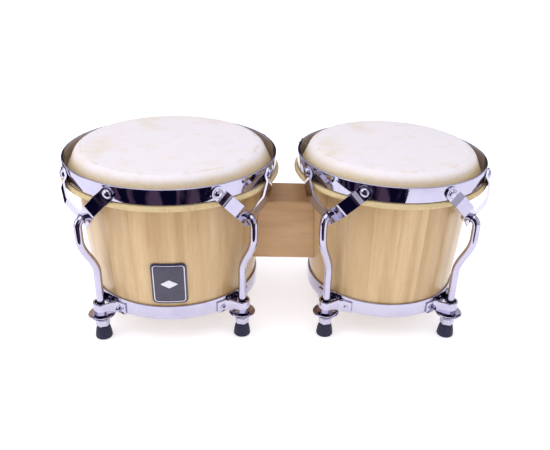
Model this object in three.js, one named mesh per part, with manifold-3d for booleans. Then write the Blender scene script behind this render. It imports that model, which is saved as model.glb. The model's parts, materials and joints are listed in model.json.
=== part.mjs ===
// A pair of bongo drums: two tapered wooden shells joined by a wooden block, each with a skin head
// held by a chromed rim, four side plates, four hooked tuning rods and four tuning nuts on rubber feet.
// Millimetres, +Z up. The drums stand side by side along X, the large one at -X, feet at z = 0.
import * as THREE from "three";
import { mergeVertices } from "three/addons/utils/BufferGeometryUtils.js";
import Module from "manifold-3d";

const wasm = await Module();
wasm.setup();

// ---- Overall layout ----
const rimSpacing = 15.8; // between the rolled skins of the two drums
const pieceGap = 0.3; // left between pieces that touch
const roundSides = 28; // sides of every large round piece
const lugAngles = { front_left: -135, front_right: -45, back_right: 45, back_left: 135 };

// ---- What differs between the two drums ----
// shellSwell is how far the shell's side stands out from a straight taper at its middle height,
// rimStandoff how far the rim's outside stands out from the shell, and rimBelowTop how far below it.
const largeDrum = {
  name: "large",
  shellTop: 181.3,
  shellBottomRadius: 83.1,
  shellTopRadius: 92.8,
  shellSwell: 2.55,
  rimStandoff: 12.2,
  rimBelowTop: 6.3,
  lugTurn: 3.3,
};
const smallDrum = {
  name: "small",
  shellTop: 183.8,
  shellBottomRadius: 74.2,
  shellTopRadius: 82,
  shellSwell: 1.5,
  rimStandoff: 11.6,
  rimBelowTop: 7.4,
  lugTurn: 0.9,
};

// ---- Shell ----
const shellWall = 11;
const edgeRoundHeight = 15; // height over which the top outer edge rounds in
const edgeRoundDepth = 8;

// ---- Bottom hoop with its rod brackets ----
const hoopBottom = 28.8;
const hoopHeight = 15.6;
const hoopWall = 1.6;
const hoopLip = 4; // how far the hoop turns in under the shell
const bracketHeight = 12.4;
const bracketBelowHoop = 0.4;
const bracketWall = 1.8;
const bracketClearance = 2; // between the rod and the inside of its bracket
const bracketFootSpread = 12; // half the width of the loop where it meets the hoop
const bracketFlangeSpread = 21.5; // half the width over the welded flanges
const rodStandoff = 11.6; // from the hoop's outside to the rod's axis

// ---- Rim, skin and flesh hoop ----
const rimHeight = 15;
const rimWall = 2.2;
const skinThickness = 1;
const crownRise = 0.8; // how far the middle of the skin stands above the crease
const skinEdgeRound = 5;
const skinEdgeCover = 1.8; // how far the head's flat runs past the top of the shell
const fleshWireRadius = 1.4;
const rollOverhang = 2.8; // how far the rolled skin stands out past the rim
const tuckAngle = 245; // how far the skin's end wraps round the flesh hoop from its inner side

// ---- Side plates and their rivets ----
const rivetSpacing = 66; // between a plate's two rivets
const rivetDrop = 7.6; // rivet centre below the rim's top
const plateWidth = 13;
const plateThickness = 2;
const plateFlatShort = 2.5; // the flat by the rivet ends this far above the rim's lower edge
const plateKneeBelow = 0.5; // end of the first slope below the middle of the rolled skin
const plateRollClearance = 0.7; // between the rolled skin and the plate's back, at that knee
const plateBendOut = 0.7; // how much further out the crosswise bend stands than the knee
const plateBendBelow = 8; // crosswise bend below the middle of the rolled skin
const plateTipBelow = 18.2; // bottom point of the plate's centre line below that bend
const plateLegLength = 60;
const legOverlap = 0.05; // how far each leg runs past the middle plane into the other
const rivetHeadRadius = 4.4;
const rivetHeadHeight = 2.2;
const rivetShankRadius = 2.2;
const rivetTailRadius = 3.6;
const rivetTailHeight = 1;
const rivetSides = 8;

// ---- Tuning rods ----
const rodRadius = 3.9;
const rodSides = 8;
const rodBottom = 8;
const rodHookInside = 3.3; // inside radius of the hook
const rodHookStandoff = 8.2; // from the rim's outside to the rod's axis below its hook
const rodHookBelow = 10; // top of the hook below the plate's crosswise bend
const rodBendStart = 74; // height at which the rod starts to lean out
const rodLeanBelow = 24; // end of the lean below the top of the hook
const rodTipLength = 1.5;
const hookHoleClearance = 2.1;
const hookHoleTurn = 15; // how far before the top of the hook it meets the plate, in degrees
const hookTurn = 140; // how far the end is bent over, in degrees

// ---- Tuning nuts and feet ----
const footHeight = 14;
const footTopRadius = 6.3;
const footBottomRadius = 8.4;
const footFloor = 3; // rubber left under the rod's socket
const nutHexFlats = 12.6;
const nutConeHeight = 5;
const nutFlangeRadius = 13.4;
const nutFlangeThickness = 1.8;
const nutSides = 12;

// ---- Centre block and tie bolts ----
const blockDepth = 50;
const blockHeight = 63.5;
const blockDrop = 1.2; // how far it stands below midway between the hoop and the rolled skin
const tieBoltRadius = 4;
const tieBoltSpacing = 34;
const tieHoleClearance = 0.5;
const tieWasherRadius = 11;
const tieWasherThickness = 2;
const tieHeadFlats = 13;
const tieHeadHeight = 5.5;
const tieBoltEnd = 4; // thread left standing past the nut

// ---- Badge ----
const badgeWidth = 33.5;
const badgeHeight = 46;
const badgeAboveHoop = 4;
const badgeThickness = 1;
const badgeCornerRadius = 4.5;
const badgeAzimuth = -87.5;

// ---- Colours ----
const chrome = { color: 0xc9c6d8, roughness: 0.12, metalness: 1 };
const steel = { color: 0x9a9aa2, roughness: 0.35, metalness: 1 };
const shellWood = { color: 0xc9a672, roughness: 0.35, metalness: 0 };
const blockWood = { color: 0xc19a6c, roughness: 0.5, metalness: 0 };
const rawhide = { color: 0xeee6dc, roughness: 0.6, metalness: 0 };
const rubber = { color: 0x23243a, roughness: 0.75, metalness: 0 };
const badgeBlack = { color: 0x191923, roughness: 0.3, metalness: 0 };

// ---- Heights and places that follow from the sizes above ----
const shellBottom = hoopBottom + hoopWall + pieceGap;
const rollRadius = fleshWireRadius + pieceGap + skinThickness;
const fleshCentreDrop = rimHeight + pieceGap + rollRadius;
const hoopTop = hoopBottom + hoopHeight;
const bracketBottom = hoopBottom - bracketBelowHoop;
const nutTop = bracketBottom - pieceGap;
const plateFlatDrop = rimHeight - plateFlatShort;
const plateKneeDrop = fleshCentreDrop + plateKneeBelow;
const plateKneeOut = rollOverhang + plateRollClearance;
const plateBendDrop = fleshCentreDrop + plateBendBelow;
const plateTipDrop = plateBendDrop + plateTipBelow;
const rodHookTopDrop = plateBendDrop + rodHookBelow;
const rodHookRadius = rodHookInside + rodRadius;
const badgeMiddle = hoopTop + badgeAboveHoop + badgeHeight / 2;
for (const drum of [largeDrum, smallDrum]) {
  drum.rimRadius = drum.shellTopRadius + drum.rimStandoff;
  drum.rimTop = drum.shellTop - drum.rimBelowTop;
}
const rollBottom = largeDrum.rimTop - fleshCentreDrop - rollRadius;
const blockMiddle = (hoopTop + rollBottom) / 2 - blockDrop;
const reachOf = (drum) => drum.rimRadius + rollOverhang;
const drumSpacing = reachOf(largeDrum) + rimSpacing + reachOf(smallDrum);
const centring = (reachOf(largeDrum) - reachOf(smallDrum)) / 2;
largeDrum.axisX = centring - drumSpacing / 2;
smallDrum.axisX = centring + drumSpacing / 2;

const group = new THREE.Group();

// ---- Solids ----
const radians = THREE.MathUtils.degToRad;

function solidFrom(geometry) {
  const bare = geometry.clone();
  bare.deleteAttribute("normal");
  bare.deleteAttribute("uv");
  const merged = mergeVertices(bare, 1e-4);
  const vertProperties = new Float32Array(merged.attributes.position.array);
  const triVerts = new Uint32Array(merged.index.array);
  return new wasm.Manifold(new wasm.Mesh({ numProp: 3, vertProperties, triVerts }));
}

function geometryFrom(solid) {
  const mesh = solid.getMesh();
  const geometry = new THREE.BufferGeometry();
  geometry.setAttribute("position", new THREE.BufferAttribute(mesh.vertProperties, 3));
  geometry.setIndex(new THREE.BufferAttribute(mesh.triVerts, 1));
  geometry.computeVertexNormals();
  return geometry;
}

function joined(solids) {
  return solids.reduce((sum, next) => sum.add(next));
}

function addPiece(name, geometry, look, x = 0) {
  const mesh = new THREE.Mesh(geometry, new THREE.MeshStandardMaterial(look));
  mesh.name = name;
  mesh.position.x = x;
  group.add(mesh);
}

// A profile of [radius, height] points, going up its outer side, turned about the vertical axis.
function turned(profile, sides = roundSides) {
  const points = profile.map(([radius, height]) => new THREE.Vector2(radius, height));
  return new THREE.LatheGeometry(points, sides).rotateX(Math.PI / 2);
}

function turnedRing(profile, sides = roundSides) {
  return turned([...profile, profile[0]], sides);
}

// A flat outline in X and Y raised from one height to another.
function raised(shape, bottom, height, curveSegments = 6) {
  const options = { depth: height, bevelEnabled: false, curveSegments };
  return new THREE.ExtrudeGeometry(shape, options).translate(0, 0, bottom);
}

// A round bar along X, centred on its own middle.
function barAlongX(radius, length, sides) {
  return new THREE.CylinderGeometry(radius, radius, length, sides).rotateZ(Math.PI / 2);
}

// The angles in degrees at which a round stretch has its points.
function arcAngles(from, to, steps) {
  return Array.from({ length: steps + 1 }, (_, i) => from + ((to - from) * i) / steps);
}

function arcPoints(centre, radius, from, to, steps) {
  return arcAngles(from, to, steps).map((angle) => [
    centre[0] + radius * Math.cos(radians(angle)),
    centre[1] + radius * Math.sin(radians(angle)),
  ]);
}

// ---- Shell ----
// The outside swells in a gentle curve through its bottom, middle and top radii.
function shellRadius(drum, height) {
  const t = (height - shellBottom) / (drum.shellTop - shellBottom);
  const straight = drum.shellBottomRadius + (drum.shellTopRadius - drum.shellBottomRadius) * t;
  return straight + 4 * drum.shellSwell * t * (1 - t);
}

function shellWallHeights(drum) {
  const top = drum.shellTop - edgeRoundHeight;
  return arcAngles(shellBottom, top, 4);
}

function shellOutside(drum, offset) {
  return shellWallHeights(drum).map((height) => [shellRadius(drum, height) + offset, height]);
}

function shellEdge(drum) {
  const start = drum.shellTop - edgeRoundHeight;
  const side = shellRadius(drum, start);
  return arcAngles(0, 90, 4)
    .slice(1)
    .map((angle) => [
      side - edgeRoundDepth * (1 - Math.cos(radians(angle))),
      start + edgeRoundHeight * Math.sin(radians(angle)),
    ]);
}

function tieHeights() {
  return [-1, 1].map((side) => blockMiddle + (side * tieBoltSpacing) / 2);
}

function tieHoles(drum) {
  const side = Math.sign(-drum.axisX);
  const length = drum.shellTopRadius + shellWall;
  return tieHeights().map((height) => {
    const bar = barAlongX(tieBoltRadius + tieHoleClearance, length, rivetSides);
    return solidFrom(bar.translate((side * length) / 2 + side * shellWall, 0, height));
  });
}

function addShell(drum) {
  const outside = [...shellOutside(drum, 0), ...shellEdge(drum)];
  const inside = shellOutside(drum, -shellWall).reverse();
  const edgeInside = inside[0][0];
  const profile = [...outside, [edgeInside, drum.shellTop], ...inside];
  const shell = solidFrom(turnedRing(profile)).subtract(joined(tieHoles(drum)));
  addPiece(`${drum.name}_shell`, geometryFrom(shell), shellWood, drum.axisX);
}

// ---- Skin head, flesh hoop and rim ----
function fleshCentre(drum) {
  return [reachOf(drum) - rollRadius, drum.rimTop - fleshCentreDrop];
}

// One face of the skin, from the middle of the head over the crease and round the flesh hoop.
// Offset 0 is the under face, which lies on the shell and round the hoop, and 1 is the outer face.
function skinFace(drum, offset) {
  const lift = skinThickness * offset;
  const under = drum.shellTop + pieceGap;
  const roundRadius = skinEdgeRound - skinThickness + lift;
  const flatRadius = shellEdge(drum).at(-1)[0] + skinEdgeCover;
  const roundCentre = [flatRadius, under + skinThickness - skinEdgeRound];
  const centre = fleshCentre(drum);
  const wrap = fleshWireRadius + pieceGap + (skinThickness - lift);
  const slope = collarAngle(roundCentre, centre);
  const dome = [0, under + lift + crownRise];
  const over = arcPoints(roundCentre, roundRadius, 90, slope, 2);
  const roll = offset ? fleshWireRadius + pieceGap : wrap;
  const around = arcPoints(centre, roll, 180 + slope, 180 + slope + tuckAngle, 6);
  return [dome, ...over, ...around];
}

// The collar's outward normal, in degrees, on its straight run from the crease to the hoop.
function collarAngle(roundCentre, centre) {
  const across = centre[0] - roundCentre[0];
  const down = roundCentre[1] - centre[1];
  const reach = Math.hypot(across, down);
  const offset = skinEdgeRound + fleshWireRadius + pieceGap;
  const tilt = Math.asin(offset / reach);
  return THREE.MathUtils.radToDeg(Math.atan2(across, down) - tilt);
}

function addHead(drum) {
  const profile = [...skinFace(drum, 0), ...skinFace(drum, 1).reverse()];
  addPiece(`${drum.name}_head`, turned(profile), rawhide, drum.axisX);
}

function addFleshHoop(drum) {
  const ring = arcPoints(fleshCentre(drum), fleshWireRadius, 0, 300, 5);
  addPiece(`${drum.name}_flesh_hoop`, turnedRing(ring), steel, drum.axisX);
}

function rivetAngle(drum) {
  return Math.asin(rivetSpacing / 2 / drum.rimRadius);
}

// Turns a piece made facing +X out to a given angle about the drum's axis.
function turnedTo(solid, degrees) {
  return solid.rotate([0, 0, degrees]);
}

function lugDirections(drum) {
  return Object.entries(lugAngles).map(([corner, angle]) => [corner, angle + drum.lugTurn]);
}

function addRim(drum) {
  const bottom = drum.rimTop - rimHeight;
  const inner = drum.rimRadius - rimWall;
  const band = solidFrom(
    turnedRing([
      [drum.rimRadius, bottom],
      [drum.rimRadius, drum.rimTop],
      [inner, drum.rimTop],
      [inner, bottom],
    ]),
  );
  const spread = THREE.MathUtils.radToDeg(rivetAngle(drum));
  const hole = solidFrom(
    barAlongX(rivetShankRadius + pieceGap, rimWall * 4, rivetSides).translate(
      drum.rimRadius,
      0,
      drum.rimTop - rivetDrop,
    ),
  );
  const holes = lugDirections(drum).flatMap(([, angle]) =>
    [-spread, spread].map((side) => turnedTo(hole, angle + side)),
  );
  addPiece(`${drum.name}_rim`, geometryFrom(band.subtract(joined(holes))), chrome, drum.axisX);
}

// ---- Side plates ----
// Where the rod's hook meets the plate: out from the rim in the leg's own plane, and down.
function plateHole(drum) {
  const [centre, height] = hookCentre(drum);
  const turn = radians(hookHoleTurn);
  const meetsAt = (centre + rodHookRadius * Math.sin(turn)) * Math.cos(rivetAngle(drum));
  const holeHeight = height + rodHookRadius * Math.cos(turn);
  return [meetsAt - drum.rimRadius - pieceGap - plateThickness / 2, drum.rimTop - holeHeight];
}

// One leg of a plate, seen from the side: flat on the rim, out over the rolled skin, back in at the tip.
function plateSide(drum) {
  const [holeOut, holeDrop] = plateHole(drum);
  const bendOut = plateKneeOut + plateBendOut;
  const slope = (bendOut - holeOut) / (holeDrop - plateBendDrop);
  const tipDrop = plateTipDrop + plateWidth;
  const bends = [
    [0, -plateWidth],
    [0, plateFlatDrop],
    [plateKneeOut, plateKneeDrop],
    [bendOut, plateBendDrop],
    [bendOut - slope * (tipDrop - plateBendDrop), tipDrop],
  ];
  const face = drum.rimRadius + pieceGap;
  const inner = bends.map(([out, drop]) => new THREE.Vector2(face + out, drum.rimTop - drop));
  const across = new THREE.Vector2(plateThickness, 0);
  const outer = inner.map((point) => point.clone().add(across)).reverse();
  return new THREE.Shape([...inner, ...outer]);
}

// The same leg seen from the front: a straight strip with a round end at the rivet.
function plateFront(run, drop) {
  const half = plateWidth / 2;
  const lean = Math.atan2(-drop, run);
  const shape = new THREE.Shape();
  shape.absarc(0, 0, half, lean + Math.PI / 2, lean - Math.PI / 2, false);
  const end = [plateLegLength * Math.cos(lean), plateLegLength * Math.sin(lean)];
  shape.lineTo(end[0] + half * Math.sin(lean), end[1] - half * Math.cos(lean));
  shape.lineTo(end[0] - half * Math.sin(lean), end[1] + half * Math.cos(lean));
  return shape;
}

// The leg that starts at the rivet on the +Y side and runs down to the plate's middle plane.
function plateLeg(drum) {
  const spread = rivetAngle(drum);
  const run = drum.rimRadius * Math.tan(spread);
  const rivetHeight = drum.rimTop - rivetDrop;
  const side = new THREE.ExtrudeGeometry(plateSide(drum), {
    depth: plateLegLength * 2,
    bevelEnabled: false,
  })
    .rotateX(Math.PI / 2)
    .translate(0, plateLegLength, 0);
  const front = new THREE.ExtrudeGeometry(plateFront(run, plateTipDrop - rivetDrop), {
    depth: drum.rimRadius,
    bevelEnabled: false,
    curveSegments: 4,
  })
    .rotateX(Math.PI / 2)
    .rotateZ(-Math.PI / 2)
    .translate(drum.rimRadius * 1.5, 0, rivetHeight);
  const leg = solidFrom(side).intersect(solidFrom(front));
  const reach = drum.rimRadius * 2;
  const keep = new THREE.BoxGeometry(reach, reach, reach * 2);
  keep.translate(reach / 2, reach / 2 - legOverlap, 0);
  return turnedTo(leg, THREE.MathUtils.radToDeg(spread)).intersect(solidFrom(keep));
}

// A dome-headed rivet through the rim, at the +Y side of the plate.
function plateRivet(drum) {
  const plateFace = drum.rimRadius + pieceGap + plateThickness;
  const tailFace = drum.rimRadius * Math.cos(Math.PI / roundSides) - rimWall - pieceGap;
  const dome = arcAngles(0, 90, 2).map((angle) => [
    rivetHeadRadius * Math.cos(radians(angle)),
    plateFace + rivetHeadHeight * Math.sin(radians(angle)),
  ]);
  dome.at(-1)[0] = 0;
  const profile = [
    [0, tailFace - rivetTailHeight],
    [rivetTailRadius, tailFace - rivetTailHeight],
    [rivetTailRadius, tailFace],
    [rivetShankRadius, tailFace],
    [rivetShankRadius, plateFace - plateThickness / 2],
    [rivetHeadRadius, plateFace - plateThickness / 2],
    ...dome,
  ];
  const rivet = turned(profile, rivetSides)
    .rotateY(Math.PI / 2)
    .translate(0, 0, drum.rimTop - rivetDrop);
  return turnedTo(solidFrom(rivet), THREE.MathUtils.radToDeg(rivetAngle(drum)));
}

function hookHole(drum) {
  const [, drop] = plateHole(drum);
  const hole = barAlongX(rodRadius + hookHoleClearance, rodHookRadius * 4, nutSides);
  return solidFrom(hole.translate(drum.rimRadius, 0, drum.rimTop - drop));
}

function addSidePlates(drum) {
  const half = plateLeg(drum).add(plateRivet(drum));
  const plate = half.add(half.mirror([0, 1, 0])).subtract(hookHole(drum));
  for (const [corner, angle] of lugDirections(drum)) {
    const placed = geometryFrom(turnedTo(plate, angle));
    addPiece(`${drum.name}_side_plate_${corner}`, placed, chrome, drum.axisX);
  }
}

// ---- Tuning rods ----
function rodAxisRadius(drum) {
  return shellRadius(drum, hoopTop) + pieceGap + hoopWall + rodStandoff;
}

function hookCentre(drum) {
  const radius = drum.rimRadius + rodHookStandoff - rodHookRadius;
  return [radius, drum.rimTop - rodHookTopDrop - rodHookRadius - rodRadius];
}

// The middle line of a rod, as [distance from the drum's axis, height] stations from its foot up.
function rodStations(drum) {
  const low = rodAxisRadius(drum);
  const high = drum.rimRadius + rodHookStandoff;
  const leanEnd = drum.rimTop - rodHookTopDrop - rodLeanBelow;
  const lean = arcAngles(0, 180, 6).map((angle) => {
    const along = angle / 180;
    const swing = (1 - Math.cos(radians(angle))) / 2;
    return [low + (high - low) * swing, rodBendStart + (leanEnd - rodBendStart) * along];
  });
  const hook = arcPoints(hookCentre(drum), rodHookRadius, 0, hookTurn, 6);
  const last = hook.at(-1);
  const tip = [
    last[0] - rodTipLength * Math.sin(radians(hookTurn)),
    last[1] + rodTipLength * Math.cos(radians(hookTurn)),
  ];
  return [[low, rodBottom], [low, hoopTop], ...lean, [high, hook[0][1]], ...hook.slice(1), tip];
}

// A path that passes straight through its stations, one extrusion step for each.
class StationPath extends THREE.Curve {
  constructor(stations) {
    super();
    this.stations = stations.map(([radius, height]) => new THREE.Vector3(radius, 0, height));
  }
  getPoint(t) {
    const place = t * (this.stations.length - 1);
    const index = Math.min(Math.floor(place), this.stations.length - 2);
    return this.stations[index].clone().lerp(this.stations[index + 1], place - index);
  }
  getPointAt(u) {
    return this.getPoint(u);
  }
  getTangentAt(u) {
    const step = 0.5 / (this.stations.length - 1);
    const after = this.getPoint(Math.min(u + step, 1));
    return after.sub(this.getPoint(Math.max(u - step, 0))).normalize();
  }
}

function roundSection(radius, sides) {
  const corners = arcAngles(0, 360, sides).slice(0, -1);
  return new THREE.Shape(
    corners.map((angle) => {
      const turn = radians(angle);
      return new THREE.Vector2(radius * Math.cos(turn), radius * Math.sin(turn));
    }),
  );
}

function addTuningRods(drum) {
  const stations = rodStations(drum);
  const rod = new THREE.ExtrudeGeometry(roundSection(rodRadius, rodSides), {
    steps: stations.length - 1,
    bevelEnabled: false,
    extrudePath: new StationPath(stations),
  });
  for (const [corner, angle] of lugDirections(drum)) {
    const placed = rod.clone().rotateZ(radians(angle));
    addPiece(`${drum.name}_tuning_rod_${corner}`, placed, chrome, drum.axisX);
  }
}

// ---- Bottom hoop ----
// A bracket's loop in plan: two legs out from the hoop and round the rod.
function bracketOutline(rodAt, hoopAt, tipRadius, spread) {
  const shape = new THREE.Shape();
  const slant = Math.atan2(spread - tipRadius, rodAt - hoopAt);
  shape.moveTo(hoopAt, -spread);
  shape.absarc(rodAt, 0, tipRadius, slant - Math.PI / 2, Math.PI / 2 - slant, false);
  shape.lineTo(hoopAt, spread);
  return shape;
}

function bracket(drum, hoopOutside) {
  const rodAt = rodAxisRadius(drum);
  const base = hoopOutside - bracketFootSpread;
  const inner = rodRadius + bracketClearance;
  const outer = inner + bracketWall;
  const wide = bracketOutline(rodAt, base, outer, bracketFootSpread);
  const hollow = bracketOutline(rodAt, base, inner, bracketFootSpread - bracketWall);
  const loop = solidFrom(raised(wide, bracketBottom, bracketHeight, 5)).subtract(
    solidFrom(raised(hollow, bracketBottom - 1, bracketHeight + 2, 5)),
  );
  const flange = solidFrom(
    turnedRing([
      [hoopOutside - hoopWall / 2, bracketBottom],
      [hoopOutside + bracketWall, bracketBottom],
      [hoopOutside + bracketWall, bracketBottom + bracketHeight],
      [hoopOutside - hoopWall / 2, bracketBottom + bracketHeight],
    ]),
  );
  const span = bracketFlangeSpread * 2;
  const slab = new THREE.BoxGeometry(span, span, span).translate(hoopOutside, 0, hoopBottom);
  const gapBetween = new THREE.BoxGeometry(span, 2 * (bracketFootSpread - bracketWall), span);
  const flanges = flange
    .intersect(solidFrom(slab))
    .subtract(solidFrom(gapBetween.translate(hoopOutside, 0, hoopBottom)));
  return loop.add(flanges);
}

function addBottomHoop(drum) {
  const inside = shellRadius(drum, hoopTop) + pieceGap;
  const outside = inside + hoopWall;
  const bore = shellRadius(drum, shellBottom) - hoopLip;
  const band = solidFrom(
    turnedRing([
      [bore, hoopBottom],
      [outside, hoopBottom],
      [outside, hoopTop],
      [inside, hoopTop],
      [inside, hoopBottom + hoopWall],
      [bore, hoopBottom + hoopWall],
    ]),
  );
  const room = solidFrom(
    turned([
      [0, 0],
      [inside, 0],
      [inside, drum.rimTop],
      [0, drum.rimTop],
    ]),
  );
  const one = bracket(drum, outside).subtract(room);
  const brackets = lugDirections(drum).map(([, angle]) => turnedTo(one, angle));
  const hoop = joined([band, ...brackets]);
  addPiece(`${drum.name}_bottom_hoop`, geometryFrom(hoop), chrome, drum.axisX);
}

// ---- Tuning nuts and rubber feet ----
function hexSolid(flats, height) {
  const corner = flats / Math.sqrt(3);
  return new THREE.CylinderGeometry(corner, corner, height, 6).rotateX(Math.PI / 2);
}

function tuningNut() {
  const bottom = footHeight + pieceGap;
  const flangeBottom = nutTop - nutFlangeThickness;
  const hexTop = flangeBottom - nutConeHeight;
  const hexHeight = hexTop - bottom;
  const collar = turned(
    [
      [0, hexTop - 1],
      [nutHexFlats / 2, hexTop - 1],
      [nutHexFlats / Math.sqrt(3), hexTop],
      [nutFlangeRadius, flangeBottom],
      [nutFlangeRadius, nutTop],
      [0, nutTop],
    ],
    nutSides,
  );
  const hex = hexSolid(nutHexFlats, hexHeight).translate(0, 0, bottom + hexHeight / 2);
  const bore = barAlongX(rodRadius + pieceGap, footHeight * 6, nutSides).rotateY(Math.PI / 2);
  return solidFrom(collar).add(solidFrom(hex)).subtract(solidFrom(bore));
}

function rubberFoot() {
  const socket = rodRadius + pieceGap;
  return turned(
    [
      [0, 0],
      [footBottomRadius - 1, 0],
      [footBottomRadius, 1],
      [footTopRadius, footHeight],
      [socket, footHeight],
      [socket, footFloor],
      [0, footFloor],
    ],
    nutSides,
  );
}

function addNutsAndFeet(drum) {
  const nut = geometryFrom(tuningNut());
  const foot = rubberFoot();
  for (const [corner, angle] of lugDirections(drum)) {
    const x = rodAxisRadius(drum) * Math.cos(radians(angle));
    const y = rodAxisRadius(drum) * Math.sin(radians(angle));
    const placedNut = nut.clone().rotateZ(radians(angle)).translate(x, y, 0);
    const placedFoot = foot.clone().translate(x, y, 0);
    addPiece(`${drum.name}_tuning_nut_${corner}`, placedNut, chrome, drum.axisX);
    addPiece(`${drum.name}_rubber_foot_${corner}`, placedFoot, rubber, drum.axisX);
  }
}

// ---- Centre block and tie bolts ----
function shellEnvelope(drum, offset) {
  const outside = shellOutside(drum, offset);
  const envelope = turned([[0, outside[0][1]], ...outside, [0, outside.at(-1)[1]]]);
  return solidFrom(envelope.translate(drum.axisX, 0, 0));
}

function addCentreBlock() {
  const box = new THREE.BoxGeometry(drumSpacing, blockDepth, blockHeight);
  const bolts = tieHeights().map((height) => {
    const bar = barAlongX(tieBoltRadius + tieHoleClearance, drumSpacing * 2, rivetSides);
    return solidFrom(bar.translate(0, 0, height));
  });
  const block = solidFrom(box.translate(centring, 0, blockMiddle))
    .subtract(shellEnvelope(largeDrum, pieceGap))
    .subtract(shellEnvelope(smallDrum, pieceGap))
    .subtract(joined(bolts));
  addPiece("centre_block", geometryFrom(block), blockWood);
}

// How far from a drum's axis a washer's back stands, clear of the round inside of the shell.
function washerReach(drum, height) {
  const wall = shellRadius(drum, height - tieWasherRadius) - shellWall;
  const flatSide = wall * Math.cos(Math.PI / roundSides);
  return Math.sqrt(flatSide ** 2 - tieWasherRadius ** 2) - pieceGap;
}

function tieWasher(x, height) {
  const disc = barAlongX(tieWasherRadius, tieWasherThickness, nutSides);
  const hole = barAlongX(tieBoltRadius + pieceGap, tieWasherThickness * 3, nutSides);
  return solidFrom(disc).subtract(solidFrom(hole)).translate([x, 0, height]);
}

function addTieBolt(label, height) {
  const headFace = largeDrum.axisX + washerReach(largeDrum, height);
  const nutFace = smallDrum.axisX - washerReach(smallDrum, height);
  const headStart = headFace - tieWasherThickness - pieceGap;
  const nutStart = nutFace + tieWasherThickness + pieceGap;
  const boltEnd = nutStart + tieHeadHeight + tieBoltEnd;
  const boltLength = boltEnd - headStart;
  const shank = barAlongX(tieBoltRadius, boltLength + 1, nutSides);
  const head = hexSolid(tieHeadFlats, tieHeadHeight).rotateY(Math.PI / 2);
  const bolt = solidFrom(shank.translate(headStart + (boltLength - 1) / 2, 0, height)).add(
    solidFrom(head.clone().translate(headStart - tieHeadHeight / 2, 0, height)),
  );
  const bore = barAlongX(tieBoltRadius + pieceGap, tieHeadHeight * 3, nutSides);
  const nut = solidFrom(head)
    .subtract(solidFrom(bore))
    .translate([nutStart + tieHeadHeight / 2, 0, height]);
  const largeWasher = tieWasher(headFace - tieWasherThickness / 2, height);
  const smallWasher = tieWasher(nutFace + tieWasherThickness / 2, height);
  addPiece(`tie_bolt_${label}`, geometryFrom(bolt), steel);
  addPiece(`tie_nut_${label}`, geometryFrom(nut), steel);
  addPiece(`tie_washer_large_${label}`, geometryFrom(largeWasher), steel);
  addPiece(`tie_washer_small_${label}`, geometryFrom(smallWasher), steel);
}

// ---- Badge ----
function roundedRectangle(width, height, radius) {
  const shape = new THREE.Shape();
  const x = width / 2 - radius;
  const y = height / 2 - radius;
  shape.absarc(x, y, radius, 0, Math.PI / 2, false);
  shape.absarc(-x, y, radius, Math.PI / 2, Math.PI, false);
  shape.absarc(-x, -y, radius, Math.PI, Math.PI * 1.5, false);
  shape.absarc(x, -y, radius, Math.PI * 1.5, Math.PI * 2, false);
  return shape;
}

function addBadge() {
  const skin = shellEnvelope(largeDrum, pieceGap + badgeThickness).subtract(
    shellEnvelope(largeDrum, pieceGap),
  );
  const outline = roundedRectangle(badgeWidth, badgeHeight, badgeCornerRadius);
  const punch = raised(outline, 0, largeDrum.rimRadius, 4)
    .rotateX(Math.PI / 2)
    .rotateZ(radians(badgeAzimuth + 90))
    .translate(largeDrum.axisX, 0, badgeMiddle);
  addPiece("badge", geometryFrom(skin.intersect(solidFrom(punch))), badgeBlack);
}

for (const drum of [largeDrum, smallDrum]) {
  addShell(drum);
  addHead(drum);
  addFleshHoop(drum);
  addRim(drum);
  addSidePlates(drum);
  addTuningRods(drum);
  addBottomHoop(drum);
  addNutsAndFeet(drum);
}
addCentreBlock();
tieHeights().forEach((height, i) => addTieBolt(["lower", "upper"][i], height));
addBadge();

export default group;
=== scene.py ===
import json
import math
import bpy
from mathutils import Matrix, Vector

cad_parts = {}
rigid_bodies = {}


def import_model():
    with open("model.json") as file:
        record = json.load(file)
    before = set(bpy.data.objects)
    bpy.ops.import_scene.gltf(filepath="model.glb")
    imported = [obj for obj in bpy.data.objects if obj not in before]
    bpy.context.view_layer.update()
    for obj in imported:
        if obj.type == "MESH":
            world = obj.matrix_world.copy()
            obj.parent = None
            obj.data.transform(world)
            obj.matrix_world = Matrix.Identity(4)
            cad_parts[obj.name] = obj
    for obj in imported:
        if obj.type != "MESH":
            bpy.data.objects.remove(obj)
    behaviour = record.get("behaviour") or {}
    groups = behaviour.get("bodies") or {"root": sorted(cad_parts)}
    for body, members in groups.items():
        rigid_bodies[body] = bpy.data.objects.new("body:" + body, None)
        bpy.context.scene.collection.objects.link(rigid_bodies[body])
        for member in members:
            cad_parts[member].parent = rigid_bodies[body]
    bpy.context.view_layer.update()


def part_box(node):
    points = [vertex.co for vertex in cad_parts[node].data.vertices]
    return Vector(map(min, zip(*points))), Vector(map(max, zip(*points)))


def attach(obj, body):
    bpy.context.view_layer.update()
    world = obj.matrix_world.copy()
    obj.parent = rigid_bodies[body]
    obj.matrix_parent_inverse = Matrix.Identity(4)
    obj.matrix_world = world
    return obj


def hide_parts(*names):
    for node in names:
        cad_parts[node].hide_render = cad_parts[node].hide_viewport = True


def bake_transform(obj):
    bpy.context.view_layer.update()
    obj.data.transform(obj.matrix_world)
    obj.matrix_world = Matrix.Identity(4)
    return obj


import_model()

root = "shells_and_block"
fullTurn = 2 * math.pi
layFlat = Matrix.Rotation(math.pi / 2, 4, "Y")  # an upright axis turned to point along X
print("frame loaded")


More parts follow.
